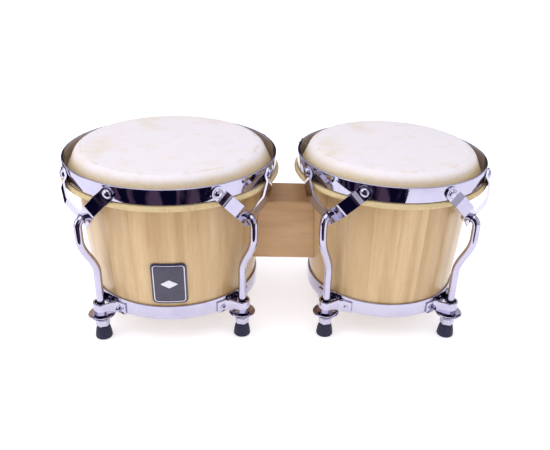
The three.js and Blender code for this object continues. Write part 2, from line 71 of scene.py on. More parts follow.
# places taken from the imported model
def measuredDrum(name, lugTurn):
    shellLow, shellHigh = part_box(name + "_shell")
    rimLow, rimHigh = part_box(name + "_rim")
    hoopLow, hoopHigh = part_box(name + "_bottom_hoop")
    footLow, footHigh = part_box(name + "_rubber_foot_front_left")
    nutLow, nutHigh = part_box(name + "_tuning_nut_front_left")
    return {
        "name": name,
        "axisX": (rimLow[0] + rimHigh[0]) / 2,
        "shellBottom": shellLow[2],
        "shellTop": shellHigh[2],
        "rimRadius": (rimHigh[0] - rimLow[0]) / 2,
        "rimBottom": rimLow[2],
        "rimTop": rimHigh[2],
        "hoopTop": hoopHigh[2],
        "footTop": footHigh[2],
        "nutBottom": nutLow[2],
        "nutTop": nutHigh[2],
        "rimBody": name + "_rim_assembly",
        "lugs": {
            "front_left": -135 + lugTurn,
            "front_right": -45 + lugTurn,
            "back_right": 45 + lugTurn,
            "back_left": 135 + lugTurn,
        },
    }


largeDrum = measuredDrum("large", 3.3)
smallDrum = measuredDrum("small", 0.9)
drums = [largeDrum, smallDrum]


# modelling helpers
def deselectAll():
    bpy.ops.object.select_all(action="DESELECT")


def pick(piece):
    deselectAll()
    piece.select_set(True)
    bpy.context.view_layer.objects.active = piece


def editing(mode="VERT"):
    bpy.ops.object.mode_set(mode="EDIT")
    bpy.ops.mesh.select_mode(type=mode)


def selectAll():
    bpy.ops.mesh.select_all(action="SELECT")


def doneEditing():
    bpy.ops.object.mode_set(mode="OBJECT")


# puts the place into the mesh, so the object sits at the origin
def settle(piece, name):
    pick(piece)
    bpy.ops.object.transform_apply(location=True, rotation=True, scale=True)
    piece.name = name
    piece.data.name = name
    return piece


def smooth(piece, degrees):
    pick(piece)
    bpy.ops.object.shade_smooth_by_angle(angle=math.radians(degrees))
    return piece


def modified(piece, kind, **values):
    pick(piece)
    modifier = piece.modifiers.new(kind.lower(), kind)
    for key, value in values.items():
        setattr(modifier, key, value)
    bpy.ops.object.modifier_apply(modifier=modifier.name)
    return piece


# rounds every edge sharper than the angle
def eased(piece, width, segments, angle):
    return modified(piece, "BEVEL", width=width, segments=segments, limit_method="ANGLE",
                    angle_limit=math.radians(angle))


def cutBy(piece, cutter, operation="DIFFERENCE"):
    modified(piece, "BOOLEAN", object=cutter, operation=operation, solver="EXACT")
    bpy.data.objects.remove(cutter, do_unlink=True)
    return piece


def placedCopy(piece, name, matrix):
    copy = piece.copy()
    copy.data = piece.data.copy()
    bpy.context.scene.collection.objects.link(copy)
    copy.data.transform(matrix)
    copy.name = name
    copy.data.name = name
    return copy


def joinedPieces(pieces):
    pick(pieces[0])
    for piece in pieces:
        piece.select_set(True)
    bpy.ops.object.join()
    return bpy.context.object


# a run of edges through the points, left open in edit mode
def line(name, points):
    deselectAll()
    bpy.ops.mesh.primitive_plane_add(size=0.002, location=points[0])
    piece = settle(bpy.context.object, name)
    editing()
    selectAll()
    bpy.ops.mesh.merge(type="CENTER")
    for before, after in zip(points, points[1:]):
        step = Vector(after) - Vector(before)
        bpy.ops.mesh.extrude_region_move(TRANSFORM_OT_translate={"value": step})
    return piece


# a profile of radius and height, spun round an upright axis at x
def turned(name, profile, sides, x=0):
    piece = line(name, [(x + radius, 0, height) for radius, height in profile])
    selectAll()
    bpy.ops.mesh.spin(steps=sides, angle=fullTurn, center=(x, 0, 0), axis=(0, 0, 1))
    selectAll()
    bpy.ops.mesh.remove_doubles(threshold=2e-6)
    bpy.ops.mesh.normals_make_consistent(inside=False)
    doneEditing()
    return piece


def arc(centre, radius, start, end, steps):
    angles = [math.radians(start + (end - start) * i / steps) for i in range(steps + 1)]
    return [(centre[0] + radius * math.cos(angle), centre[1] + radius * math.sin(angle))
            for angle in angles]


# a round bar along the points
def tube(name, points, radius, rings):
    deselectAll()
    bpy.ops.curve.primitive_bezier_curve_add()
    path = bpy.context.object
    shape = path.data
    shape.splines.clear()
    spline = shape.splines.new("POLY")
    spline.points.add(len(points) - 1)
    for point, place in zip(spline.points, points):
        point.co = (*place, 1)
    shape.dimensions = "3D"
    shape.bevel_depth = radius
    shape.bevel_resolution = rings
    shape.use_fill_caps = True
    bpy.ops.object.convert(target="MESH")
    piece = settle(bpy.context.object, name)
    editing()
    selectAll()
    bpy.ops.mesh.remove_doubles(threshold=1e-6)
    bpy.ops.mesh.normals_make_consistent(inside=False)
    doneEditing()
    return piece


# from a lug modelled on the +X side of an axis at the origin to its place on the drum
def lugMatrix(drum, degrees):
    turn = Matrix.Rotation(math.radians(degrees), 4, "Z")
    return Matrix.Translation((drum["axisX"], 0, 0)) @ turn


def finished(piece, look, body, slotName, *nodes):
    piece.data.materials.clear()
    piece.data.materials.append(look)
    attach(piece, body)
    if nodes:
        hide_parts(*nodes)
    return piece


# node helpers
def tint(red, green, blue):
    def linear(level):
        level /= 255
        return level / 12.92 if level <= 0.04045 else ((level + 0.055) / 1.055) ** 2.4
    return (linear(red), linear(green), linear(blue), 1)


# a socket takes a link or a plain value
def feed(tree, socket, value):
    if isinstance(value, bpy.types.NodeSocket):
        tree.links.new(value, socket)
    else:
        socket.default_value = value


def addNode(tree, kind, values=None, **settings):
    item = tree.nodes.new("ShaderNode" + kind)
    for key, value in settings.items():
        setattr(item, key, value)
    for key, value in (values or {}).items():
        feed(tree, item.inputs[key], value)
    return item


def maths(tree, operation, first, second=0.0, clamp=False):
    values = {0: first, 1: second}
    return addNode(tree, "Math", values, operation=operation, use_clamp=clamp).outputs[0]


def mixedColour(tree, factor, first, second):
    values = {"Factor": factor, "A": first, "B": second}
    item = tree.nodes.new("ShaderNodeMix")
    item.data_type = "RGBA"
    for socket in item.inputs:
        if socket.name in values and socket.type in ("RGBA", "VALUE") and socket.enabled:
            feed(tree, socket, values[socket.name])
    return [out for out in item.outputs if out.enabled][0]


def ranged(tree, value, low, high, newLow=0.0, newHigh=1.0, smoothly=False):
    kind = "SMOOTHSTEP" if smoothly else "LINEAR"
    values = {"Value": value, "From Min": low, "From Max": high,
              "To Min": newLow, "To Max": newHigh}
    return addNode(tree, "MapRange", values, interpolation_type=kind).outputs[0]


def noisy(tree, place, scale, detail=3.0, roughness=0.5):
    values = {"Vector": place, "Scale": scale, "Detail": detail, "Roughness": roughness}
    return addNode(tree, "TexNoise", values).outputs[0]


def newGroup(name, inputs, outputs):
    group = bpy.data.node_groups.new(name, "ShaderNodeTree")
    for label, kind, value in inputs:
        socket = group.interface.new_socket(label, in_out="INPUT", socket_type="NodeSocket" + kind)
        if value is not None:
            socket.default_value = value
    for label, kind in outputs:
        group.interface.new_socket(label, in_out="OUTPUT", socket_type="NodeSocket" + kind)
    given = group.nodes.new("NodeGroupInput").outputs
    return group, given, group.nodes.new("NodeGroupOutput").inputs


def useGroup(tree, group, values):
    return addNode(tree, "Group", values, node_tree=group).outputs


def stretched(tree, place, amounts):
    return addNode(tree, "VectorMath", {0: place, 1: amounts}, operation="MULTIPLY").outputs[0]


def newLook(name, plain):
    look = bpy.data.materials.new(name)
    look.use_nodes = True
    shader = look.node_tree.nodes["Principled BSDF"]
    for key, value in plain.items():
        shader.inputs[key].default_value = value
    return look, look.node_tree, shader


def centredPlace(tree, x=0.0):
    place = addNode(tree, "TexCoord").outputs["Object"]
    return addNode(tree, "Mapping", {"Vector": place, "Location": (-x, 0, 0)}).outputs[0]


# colour, roughness and relief of a surface
def surfaced(tree, shader, colour, roughness, height, strength, distance):
    values = {"Height": height, "Strength": strength, "Distance": distance}
    bump = addNode(tree, "Bump", values)
    feed(tree, shader.inputs["Base Color"], colour)
    feed(tree, shader.inputs["Roughness"], roughness)
    feed(tree, shader.inputs["Normal"], bump.outputs[0])


# wood: long fibres, pores and slow colour drift
def buildGrain():
    tree, given, out = newGroup(
        "wood grain",
        [("Place", "Vector", None), ("Light Wood", "Color", (1, 1, 1, 1)),
         ("Dark Wood", "Color", (0, 0, 0, 1)), ("Fibre", "Float", 300.0),
         ("Figure", "Float", 0.5)],
        [("Colour", "Color"), ("Roughness", "Float"), ("Height", "Float")],
    )
    slow = noisy(tree, given["Place"], 46.0, 2.0, 0.5)
    fibre = noisy(tree, given["Place"], given["Fibre"], 4.0, 0.6)
    pores = noisy(tree, given["Place"], 900.0, 2.0, 0.5)
    rings = addNode(tree, "TexWave", {"Vector": given["Place"], "Scale": 14.0, "Distortion": 9.0,
                                      "Detail": 3.0, "Detail Scale": 0.8})
    ringLine = ranged(tree, rings.outputs[1], 0.35, 1.0, 0.0, 1.0, True)
    fibreTone = ranged(tree, fibre, 0.3, 0.72, 0.0, 1.0)
    slowTone = ranged(tree, slow, 0.3, 0.7, 0.0, 1.0)
    figured = maths(tree, "MULTIPLY", ringLine, given["Figure"])
    tone = maths(tree, "MULTIPLY", fibreTone, 0.26)
    tone = maths(tree, "ADD", tone, maths(tree, "MULTIPLY", slowTone, 0.5))
    tone = maths(tree, "ADD", tone, figured, True)
    colour = mixedColour(tree, tone, given["Light Wood"], given["Dark Wood"])
    poreMask = ranged(tree, pores, 0.62, 0.72, 0.0, 0.25)
    darkPore = mixedColour(tree, 0.55, given["Dark Wood"], (0.16, 0.09, 0.04, 1))
    colour = mixedColour(tree, poreMask, colour, darkPore)
    tree.links.new(colour, out["Colour"])
    tree.links.new(ranged(tree, fibre, 0.3, 0.7, 0.26, 0.4), out["Roughness"])
    tree.links.new(maths(tree, "SUBTRACT", fibre, poreMask), out["Height"])
    return tree


woodGrain = buildGrain()

staveLook = {"staves": 20, "light": tint(229, 201, 153), "dark": tint(184, 147, 97),
             "joint": tint(168, 130, 84), "jointWidth": 0.03}


def shellWood(drum):
    look, tree, shader = newLook(drum["name"] + "_shell_wood", {
        "Coat Weight": 0.45, "Coat Roughness": 0.16, "Specular IOR Level": 0.4})
    place = centredPlace(tree, drum["axisX"])
    split = addNode(tree, "SeparateXYZ", {"Vector": place}).outputs
    around = maths(tree, "ARCTAN2", split[1], split[0])
    # each stave has its own tone and its own stretch of grain
    count = maths(tree, "MULTIPLY", around, staveLook["staves"] / fullTurn)
    number = maths(tree, "FLOOR", count)
    own = addNode(tree, "TexWhiteNoise", {"W": maths(tree, "ADD", number, drum["rimRadius"] * 97)},
                  noise_dimensions="1D").outputs
    across = maths(tree, "SUBTRACT", count, number)
    edge = maths(tree, "ABSOLUTE", maths(tree, "SUBTRACT", across, 0.5))
    joint = ranged(tree, edge, 0.5 - staveLook["jointWidth"], 0.5, 0.0, 0.28, True)
    shift = addNode(tree, "VectorMath", {0: own["Color"], "Scale": 3.0}, operation="SCALE")
    upright = addNode(tree, "VectorMath", {0: stretched(tree, place, (1.0, 1.0, 0.07)),
                                           1: shift.outputs[0]}, operation="ADD").outputs[0]
    grain = useGroup(tree, woodGrain, {"Place": upright, "Light Wood": staveLook["light"],
                                       "Dark Wood": staveLook["dark"], "Fibre": 330.0,
                                       "Figure": 0.22})
    stave = ranged(tree, own["Value"], 0.0, 1.0, 0.0, 0.4)
    colour = mixedColour(tree, stave, grain["Colour"], staveLook["dark"])
    colour = mixedColour(tree, joint, colour, staveLook["joint"])
    height = maths(tree, "SUBTRACT", grain["Height"], joint)
    surfaced(tree, shader, colour, grain["Roughness"], height, 0.12, 0.0006)
    return look


def blockWood():
    look, tree, shader = newLook("block_wood", {"Coat Weight": 0.15, "Coat Roughness": 0.3,
                                                "Specular IOR Level": 0.35})
    place = centredPlace(tree)
    level = stretched(tree, place, (0.09, 1.0, 1.0))
    grain = useGroup(tree, woodGrain, {"Place": level, "Light Wood": tint(222, 183, 136),
                                       "Dark Wood": tint(184, 143, 98), "Fibre": 260.0,
                                       "Figure": 0.3})
    satin = ranged(tree, grain["Roughness"], 0.26, 0.4, 0.42, 0.58)
    surfaced(tree, shader, grain["Colour"], satin, grain["Height"], 0.18, 0.0005)
    return look


# bright and dull metal: faint smears, fine polishing lines
def buildSmears():
    tree, given, out = newGroup(
        "metal smears",
        [("Place", "Vector", None), ("Scale", "Float", 40.0), ("Metal", "Color", (1, 1, 1, 1)),
         ("Smear", "Color", (1, 1, 1, 1)), ("Polish", "Float", 0.06), ("Dull", "Float", 0.2)],
        [("Colour", "Color"), ("Roughness", "Float"), ("Height", "Float")],
    )
    broad = noisy(tree, given["Place"], given["Scale"], 4.0, 0.6)
    smear = ranged(tree, broad, 0.45, 0.75, 0.0, 1.0, True)
    fine = noisy(tree, given["Place"], 1400.0, 2.0, 0.5)
    colour = mixedColour(tree, smear, given["Metal"], given["Smear"])
    gap = maths(tree, "SUBTRACT", given["Dull"], given["Polish"])
    rough = maths(tree, "ADD", given["Polish"], maths(tree, "MULTIPLY", smear, gap))
    tree.links.new(colour, out["Colour"])
    tree.links.new(rough, out["Roughness"])
    tree.links.new(maths(tree, "ADD", maths(tree, "MULTIPLY", fine, 0.3), broad), out["Height"])
    return tree


metalSmears = buildSmears()


def metal(name, colour, smear, polish, dull, bump):
    look, tree, shader = newLook(name, {"Metallic": 1.0})
    marks = useGroup(tree, metalSmears, {"Place": centredPlace(tree), "Scale": 38.0,
                                         "Metal": colour, "Smear": smear,
                                         "Polish": polish, "Dull": dull})
    surfaced(tree, shader, marks["Colour"], marks["Roughness"], marks["Height"], bump, 0.0004)
    return look


chrome = metal("chrome", tint(194, 191, 211), tint(184, 180, 202), 0.035, 0.10, 0.05)
steel = metal("zinc_steel", tint(190, 190, 196), tint(150, 148, 146), 0.25, 0.42, 0.2)


# rawhide: white where it is played, tan and blotched down its edge, with painted shade on the roll
# below the rim
rawhideLook = {"white": tint(250, 243, 245), "cream": tint(242, 228, 208),
               "tan": tint(232, 206, 142), "brown": tint(200, 165, 102),
               "painted_shade": tint(186, 165, 124)}


def rawhide(drum):
    look, tree, shader = newLook(drum["name"] + "_rawhide", {
        "Subsurface Weight": 0.06, "Subsurface Scale": 0.004, "Specular IOR Level": 0.35,
        "Sheen Weight": 0.08, "Sheen Roughness": 0.4})
    place = centredPlace(tree, drum["axisX"])
    split = addNode(tree, "SeparateXYZ", {"Vector": place}).outputs
    flat = addNode(tree, "CombineXYZ", {"X": split[0], "Y": split[1]}).outputs[0]
    radius = addNode(tree, "VectorMath", {0: flat}, operation="LENGTH").outputs["Value"]
    blotch = noisy(tree, place, 22.0, 4.0, 0.6)
    mottle = noisy(tree, place, 75.0, 4.0, 0.6)
    fibres = noisy(tree, stretched(tree, place, (0.35, 1.0, 1.0)), 520.0, 3.0, 0.6)
    wander = maths(tree, "MULTIPLY", maths(tree, "SUBTRACT", blotch, 0.5), 0.010)
    height = maths(tree, "ADD", split[2], wander)
    top = drum["shellTop"]
    lowered = ranged(tree, height, top + 0.0002, drum["rimTop"] - 0.006, 0.0, 1.0, True)
    rolled = ranged(tree, height, drum["rimBottom"] + 0.002, drum["rimBottom"] - 0.005, 0.0, 1.0)
    patch = ranged(tree, blotch, 0.5, 0.75, 0.0, 0.75, True)
    colour = mixedColour(tree, patch, rawhideLook["white"], rawhideLook["cream"])
    edgeTan = maths(tree, "MULTIPLY", lowered, 0.85)
    colour = mixedColour(tree, edgeTan, colour, rawhideLook["tan"])
    # painted shade: below the rim the rolled skin turns greyer towards its lower edge, standing in
    # for the rim's shadow
    rollShade = maths(tree, "MULTIPLY", rolled, 0.8)
    colour = mixedColour(tree, rollShade, colour, rawhideLook["painted_shade"])
    speck = ranged(tree, mottle, 0.5, 0.8, 0.0, 0.25, True)
    grainy = ranged(tree, noisy(tree, place, 330.0, 2.0, 0.5), 0.42, 0.66, 0.0, 0.5, True)
    speck = maths(tree, "ADD", speck, maths(tree, "MULTIPLY", grainy, lowered), True)
    colour = mixedColour(tree, speck, colour, rawhideLook["tan"])
    # a faint darker crease where the skin bends over the shell's edge
    creaseAt = maths(tree, "ADD", maths(tree, "MULTIPLY", wander, 0.3), drum["flatRadius"])
    off = maths(tree, "ABSOLUTE", maths(tree, "SUBTRACT", radius, creaseAt))
    crease = ranged(tree, off, 0.0001, 0.0018, 0.4, 0.0, True)
    crease = maths(tree, "MULTIPLY", crease, ranged(tree, mottle, 0.4, 0.7, 0.0, 0.7, True))
    colour = mixedColour(tree, crease, colour, rawhideLook["brown"])
    rough = ranged(tree, fibres, 0.3, 0.7, 0.45, 0.62)
    relief = maths(tree, "ADD", maths(tree, "MULTIPLY", fibres, 0.4), mottle)
    relief = maths(tree, "SUBTRACT", relief, maths(tree, "MULTIPLY", crease, 0.6))
    surfaced(tree, shader, colour, rough, relief, 0.2, 0.0008)
    return look


def rubber():
    look, tree, shader = newLook("black_rubber", {"Specular IOR Level": 0.4})
    place = centredPlace(tree)
    dust = noisy(tree, place, 160.0, 5.0, 0.65)
    grit = noisy(tree, place, 1600.0, 2.0, 0.5)
    worn = ranged(tree, dust, 0.45, 0.75, 0.0, 0.5, True)
    colour = mixedColour(tree, worn, tint(32, 33, 60), tint(58, 59, 84))
    rough = ranged(tree, dust, 0.3, 0.7, 0.5, 0.75)
    surfaced(tree, shader, colour, rough, grit, 0.25, 0.0003)
    return look


def enamel(name, first, second):
    look, tree, shader = newLook(name, {"Coat Weight": 0.5, "Coat Roughness": 0.12})
    place = centredPlace(tree)
    cloud = noisy(tree, place, 60.0, 4.0, 0.6)
    colour = mixedColour(tree, ranged(tree, cloud, 0.3, 0.7), first, second)
    rough = ranged(tree, cloud, 0.3, 0.7, 0.22, 0.36)
    surfaced(tree, shader, colour, rough, noisy(tree, place, 900.0), 0.1, 0.0002)
    return look


blockLook = blockWood()
rubberLook = rubber()
darkEnamel = enamel("dark_enamel", tint(40, 38, 60), tint(58, 54, 80))
paleEnamel = enamel("pale_enamel", tint(238, 236, 244), tint(222, 220, 232))
badgeMetal = metal("badge_metal", tint(232, 228, 240), tint(205, 200, 215), 0.2, 0.34, 0.08)
print("materials ready")


# wooden shells
shellSizes = {
    "wall": 0.011,
    "edgeHeight": 0.015,
    "edgeDepth": 0.008,
    "footEase": 0.0012,
    "creaseOut": 0.0018,
    "large": {"bottomRadius": 0.0831, "topRadius": 0.0928, "swell": 0.00255},
    "small": {"bottomRadius": 0.0742, "topRadius": 0.0820, "swell": 0.0015},
}


def shellRadius(drum, height):
    own = shellSizes[drum["name"]]
    t = (height - drum["shellBottom"]) / (drum["shellTop"] - drum["shellBottom"])
    straight = own["bottomRadius"] + (own["topRadius"] - own["bottomRadius"]) * t
    return straight + 4 * own["swell"] * t * (1 - t)


def shellSide(drum, offset, steps=14):
    low = drum["shellBottom"]
    high = drum["shellTop"] - shellSizes["edgeHeight"]
    heights = [low + (high - low) * i / steps for i in range(steps + 1)]
    return [(shellRadius(drum, height) + offset, height) for height in heights]


def shellEdge(drum, steps=10):
    start = drum["shellTop"] - shellSizes["edgeHeight"]
    side = shellRadius(drum, start)
    turns = [math.radians(90 * (i + 1) / steps) for i in range(steps)]
    return [(side - shellSizes["edgeDepth"] * (1 - math.cos(turn)),
             start + shellSizes["edgeHeight"] * math.sin(turn)) for turn in turns]


for drum in drums:
    drum["flatRadius"] = shellEdge(drum)[-1][0] + shellSizes["creaseOut"]
    outside = shellSide(drum, 0)
    ease = shellSizes["footEase"]
    foot = [(outside[0][0] - ease, outside[0][1]), (outside[0][0], outside[0][1] + ease)]
    inside = shellSide(drum, -shellSizes["wall"])[::-1]
    innerTop = (inside[0][0], drum["shellTop"])
    profile = [*foot, *outside[1:], *shellEdge(drum), innerTop, *inside]
    profile.append(profile[0])
    shell = turned(drum["name"] + "_turned_shell", profile, 144, drum["axisX"])
    smooth(shell, 40)
    finished(shell, shellWood(drum), root, "shell_wood", drum["name"] + "_shell")
print("shells turned")


# skin heads, each wrapped round its flesh hoop
headSizes = {
    "thickness": 0.001,
    "gap": 0.0003,
    "crown": 0.0008,
    "edgeRound": 0.012,
    "flatInset": 0.0015,
    "wireRadius": 0.0014,
    "tuck": 245,
    "rollPastRim": 0.0028,
    "unevenness": 0.0005,
}


def wireCentre(drum):
    reach = drum["rimRadius"] + headSizes["rollPastRim"]
    roll = headSizes["wireRadius"] + headSizes["gap"] + headSizes["thickness"]
    return reach - roll, drum["rimBottom"] - headSizes["gap"] - roll


def skinFace(drum, offset):
    lift = headSizes["thickness"] * offset
    under = drum["shellTop"] + headSizes["gap"]
    bendRadius = headSizes["edgeRound"] - headSizes["thickness"] + lift
    flatRadius = drum["flatRadius"] - shellSizes["creaseOut"] - headSizes["flatInset"]
    bend = (flatRadius, under + headSizes["thickness"] - headSizes["edgeRound"])
    centre = drum["wireCentre"]
    across = centre[0] - bend[0]
    down = bend[1] - centre[1]
    space = headSizes["edgeRound"] + headSizes["wireRadius"] + headSizes["gap"]
    slope = math.degrees(math.atan2(across, down) - math.asin(space / math.hypot(across, down)))
    wrap = headSizes["wireRadius"] + headSizes["gap"] + headSizes["thickness"] - lift
    if offset:
        wrap = headSizes["wireRadius"] + headSizes["gap"]
    flat = []
    for step in range(14):
        share = step / 14
        rise = headSizes["crown"] * (1 - share ** 2)
        flat.append((flatRadius * share, under + lift + rise))
    over = arc(bend, bendRadius, 90, slope, 12)
    around = arc(centre, wrap, 180 + slope, 180 + slope + headSizes["tuck"], 18)
    start, end = over[-1], around[0]
    collar = [(start[0] + (end[0] - start[0]) * i / 6, start[1] + (end[1] - start[1]) * i / 6)
              for i in range(1, 6)]
    return [*flat, *over, *collar, *around]


# lifts and lowers the face above a height by a soft, fixed pattern
def roughened(piece, low, strength):
    texture = bpy.data.textures.new(piece.name + " unevenness", "CLOUDS")
    texture.noise_scale = 0.03
    texture.noise_depth = 2
    group = piece.vertex_groups.new(name="upper face")
    group.add([v.index for v in piece.data.vertices if v.co.z > low], 1.0, "REPLACE")
    modified(piece, "DISPLACE", texture=texture, texture_coords="LOCAL", direction="Z",
             strength=strength, mid_level=0.5, vertex_group=group.name)
    piece.vertex_groups.clear()
    bpy.data.textures.remove(texture)


for drum in drums:
    drum["wireCentre"] = wireCentre(drum)
    profile = [*skinFace(drum, 0), *skinFace(drum, 1)[::-1]]
    head = turned(drum["name"] + "_skin", profile, 144, drum["axisX"])
    low = drum["rimTop"] + 0.001
    roughened(head, low, headSizes["unevenness"])
    smooth(head, 50)
    head.data.materials.append(rawhide(drum))
    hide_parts(drum["name"] + "_head")
    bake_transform(head)

    ring = arc(drum["wireCentre"], headSizes["wireRadius"], 0, 360, 14)
    hoop = turned(drum["name"] + "_wire_hoop", ring, 144, drum["axisX"])
    smooth(hoop, 60)
    finished(hoop, steel, drum["rimBody"], "steel", drum["name"] + "_flesh_hoop")
print("heads stretched")


# rim bands
rimSizes = {"wall": 0.0022, "ease": 0.0006}

for drum in drums:
    outer = drum["rimRadius"]
    inner = outer - rimSizes["wall"]
    top, bottom, ease = drum["rimTop"], drum["rimBottom"], rimSizes["ease"]
    corners = [
        arc((outer - ease, bottom + ease), ease, -90, 0, 3),
        arc((outer - ease, top - ease), ease, 0, 90, 3),
        arc((inner + ease, top - ease), ease, 90, 180, 3),
        arc((inner + ease, bottom + ease), ease, 180, 270, 3),
    ]
    profile = [point for corner in corners for point in corner]
    profile.append(profile[0])
    band = turned(drum["name"] + "_rim_band", profile, 160, drum["axisX"])
    smooth(band, 35)
    finished(band, chrome, drum["rimBody"], "chrome", drum["name"] + "_rim")
print("rims rolled")


# side plates and their rivets
plateSizes = {
    "rivetSpacing": 0.066,
    "rivetDrop": 0.0076,
    "width": 0.013,
    "thickness": 0.002,
    "gap": 0.0003,
    "flatEnd": 0.0052,
    "kneeAt": 0.0105,
    "kneeOut": 0.0037,
    "bendAt": 0.0262,
    "bendOut": 0.0046,
    "tipDrop": 0.0442,
    "creaseRound": 0.0045,
    "bendRound": 0.0012,
    "holeRadius": 0.005,
    "edge": 0.00035,
    "blankLength": 0.075,
    "blankHeight": 0.018,
}
rodSizes = {
    "radius": 0.0039,
    "bottom": 0.008,
    "hookRadius": 0.0072,
    "hookStandoff": 0.0082,
    "hookTopDrop": 0.036,
    "hookTurn": 140,
    "holeTurn": 15,
    "bendStart": 0.074,
    "leanBelow": 0.024,
    "tip": 0.0018,
    "standoff": 0.0116,
    "tipEase": 0.0009,
}
rivetSizes = {
    "headRadius": 0.0044,
    "headHeight": 0.0022,
    "collarRadius": 0.0050,
    "collarHeight": 0.0004,
    "shankRadius": 0.0022,
    "tailRadius": 0.0036,
    "tailHeight": 0.0009,
}


def rivetSpread(drum):
    return math.asin(plateSizes["rivetSpacing"] / 2 / drum["rimRadius"])


def hookCentre(drum):
    radius = drum["rimRadius"] + rodSizes["hookStandoff"] - rodSizes["hookRadius"]
    drop = rodSizes["hookTopDrop"] + rodSizes["hookRadius"] + rodSizes["radius"]
    return radius, drum["rimTop"] - drop


def legMatrix(drum, lean):
    out = Matrix.Translation((drum["rimRadius"], 0, drum["rimTop"] - plateSizes["rivetDrop"]))
    return Matrix.Rotation(rivetSpread(drum), 4, "Z") @ out @ Matrix.Rotation(lean, 4, "X")


def halfAndMirror(piece):
    pick(piece)
    editing()
    selectAll()
    bpy.ops.mesh.bisect(plane_co=(0, 0, 0), plane_no=(0, 1, 0), clear_inner=True)
    doneEditing()
    modified(piece, "MIRROR", use_axis=(False, True, False), merge_threshold=0.00001)
    return piece


def turnOut(piece):
    pick(piece)
    editing()
    selectAll()
    bpy.ops.mesh.remove_doubles(threshold=1e-6)
    bpy.ops.mesh.normals_make_consistent(inside=False)
    doneEditing()
    return piece


def plateBlank(drum, lean):
    size = plateSizes
    turn = math.radians(rodSizes["holeTurn"])
    centre, level = hookCentre(drum)
    holeOut = (centre + rodSizes["hookRadius"] * math.sin(turn)) * math.cos(rivetSpread(drum))
    holeOut -= drum["rimRadius"] + size["gap"] + size["thickness"] / 2
    holeDrop = drum["rimTop"] - level - rodSizes["hookRadius"] * math.cos(turn)
    holeAt = (holeDrop - size["rivetDrop"]) / math.sin(lean)
    slope = (size["bendOut"] - holeOut) / (holeAt - size["bendAt"])
    middle = size["gap"] + size["thickness"] / 2
    end, tall = size["blankLength"], size["blankHeight"]
    bends = [(-size["width"], 0), (size["flatEnd"], 0), (size["kneeAt"], size["kneeOut"]),
             (size["bendAt"], size["bendOut"]),
             (end, size["bendOut"] - slope * (end - size["bendAt"]))]
    points = [(middle + out, -along, -tall / 2) for along, out in bends]
    strip = line("plate blank", points)
    selectAll()
    bpy.ops.mesh.extrude_region_move(TRANSFORM_OT_translate={"value": (0, 0, tall)})
    bpy.ops.mesh.select_mode(type="EDGE")
    doneEditing()
    mesh = strip.data
    inner = [(middle + out, -along) for along, out in bends[1:-1]]
    for edge in mesh.edges:
        ends = [mesh.vertices[i].co for i in edge.vertices]
        upright = abs(ends[0].z - ends[1].z) > tall / 2
        edge.select = upright and any(abs(ends[0].y - y) < 1e-5 for x, y in inner)
    editing("EDGE")
    bpy.ops.mesh.bevel(offset=size["bendRound"], segments=4, affect="EDGES")
    doneEditing()
    strip.matrix_world = legMatrix(drum, lean)
    settle(strip, "plate blank")
    return halfAndMirror(strip), level + rodSizes["hookRadius"] * math.cos(turn)


def plateOutline(drum, lean):
    width, length = plateSizes["width"], plateSizes["blankLength"]
    deselectAll()
    bpy.ops.mesh.primitive_cylinder_add(vertices=64, radius=width / 2, depth=0.08,
                                        rotation=(0, math.pi / 2, 0))
    outline = settle(bpy.context.object, "plate outline")
    deselectAll()
    bpy.ops.mesh.primitive_cube_add(size=1, location=(0, -length / 2, 0),
                                    scale=(0.08, length, width))
    bar = settle(bpy.context.object, "plate bar")
    cutBy(outline, bar, "UNION")
    outline.matrix_world = legMatrix(drum, lean)
    settle(outline, "plate outline")
    return turnOut(halfAndMirror(outline))


def sidePlate(drum):
    size = plateSizes
    run = drum["rimRadius"] * math.tan(rivetSpread(drum))
    lean = math.atan2(size["tipDrop"] - size["rivetDrop"], run)
    plate, holeHeight = plateBlank(drum, lean)
    mesh = plate.data
    pick(plate)
    for edge in mesh.edges:  # the crease down the middle of the V
        edge.select = all(abs(mesh.vertices[i].co.y) < 1e-5 for i in edge.vertices)
    editing("EDGE")
    bpy.ops.mesh.bevel(offset=size["creaseRound"], segments=6, affect="EDGES")
    selectAll()
    bpy.ops.mesh.remove_doubles(threshold=2e-5)
    bpy.ops.mesh.normals_make_consistent(inside=False)
    doneEditing()
    modified(plate, "SOLIDIFY", thickness=size["thickness"], offset=0, use_even_offset=True)
    turnOut(plate)
    cutBy(plate, plateOutline(drum, lean), "INTERSECT")
    deselectAll()
    bpy.ops.mesh.primitive_cylinder_add(vertices=40, radius=size["holeRadius"], depth=0.03,
                                        location=(drum["rimRadius"], 0, holeHeight),
                                        rotation=(0, math.pi / 2, 0))
    cutBy(plate, settle(bpy.context.object, "hook hole"))
    pick(plate)
    editing()
    selectAll()
    bpy.ops.mesh.remove_doubles(threshold=2e-5)
    bpy.ops.mesh.dissolve_limited(angle_limit=math.radians(0.6))
    doneEditing()
    eased(plate, size["edge"], 2, 50)
    smooth(plate, 30)
    return modified(plate, "WEIGHTED_NORMAL", keep_sharp=True, weight=80)


